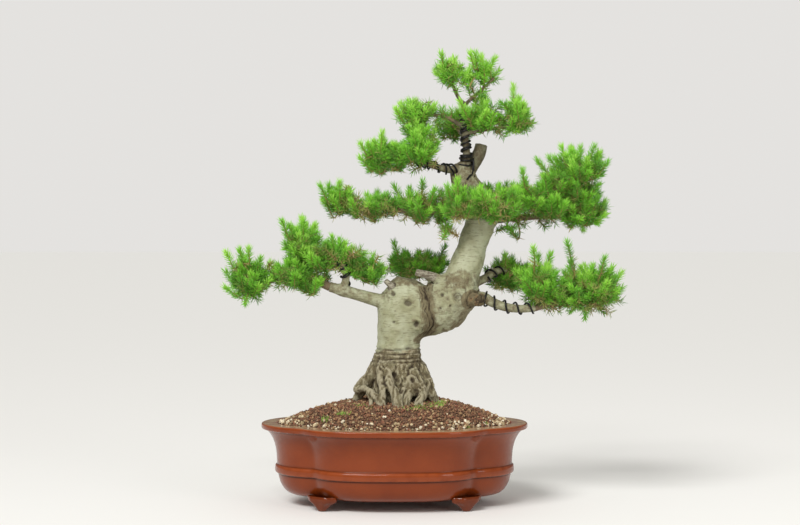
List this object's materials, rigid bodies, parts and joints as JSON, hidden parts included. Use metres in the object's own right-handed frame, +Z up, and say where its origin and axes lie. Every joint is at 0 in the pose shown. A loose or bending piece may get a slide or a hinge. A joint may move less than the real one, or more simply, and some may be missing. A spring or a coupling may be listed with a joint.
{
  "type": "bonsai tree in a pot",
  "caption": "Old conifer bonsai with a knotted leaning trunk, tiered needle foliage and training wire, planted in a lobed oval pot with a flared rim and bracket feet.",
  "frame": {"origin": "middle of the whole object's extent seen from above, at the level of the pot's soles", "axes": "+Z up, +X to the right seen from the front, -Y towards the front"},
  "size_m": [0.6772, 0.316, 0.7516],
  "materials": {
    "glaze": "glossy red-brown glazed stoneware",
    "granules": "loose red-brown granules with pale pumice",
    "bark": "smooth grey-green bark, fissured and brown at the base",
    "needles": "satin yellow-green needles on brown twigs",
    "training_wire": "black anodised, satin"
  },
  "bodies": {
    "root": {"pot": "glaze", "soil": "granules", "trunk": "bark", "wire_right_low": "training_wire", "wire_right_back": "training_wire", "wire_left_crown": "training_wire", "wire_leader": "training_wire", "wire_upper_left": "training_wire", "spray_left": "needles", "spray_left_crown": "needles", "spray_right_low": "needles", "spray_right_back": "needles", "spray_back_low": "needles", "spray_mid_left": "needles", "spray_front_left": "needles", "spray_front_right": "needles", "spray_mid_right": "needles", "spray_mid_right_low": "needles", "spray_mid_back": "needles", "spray_upper_left": "needles", "spray_upper_left_top": "needles", "spray_upper_right": "needles", "spray_upper_back": "needles", "spray_apex_left": "needles", "spray_apex_right": "needles"}
  },
  "joints": []
}
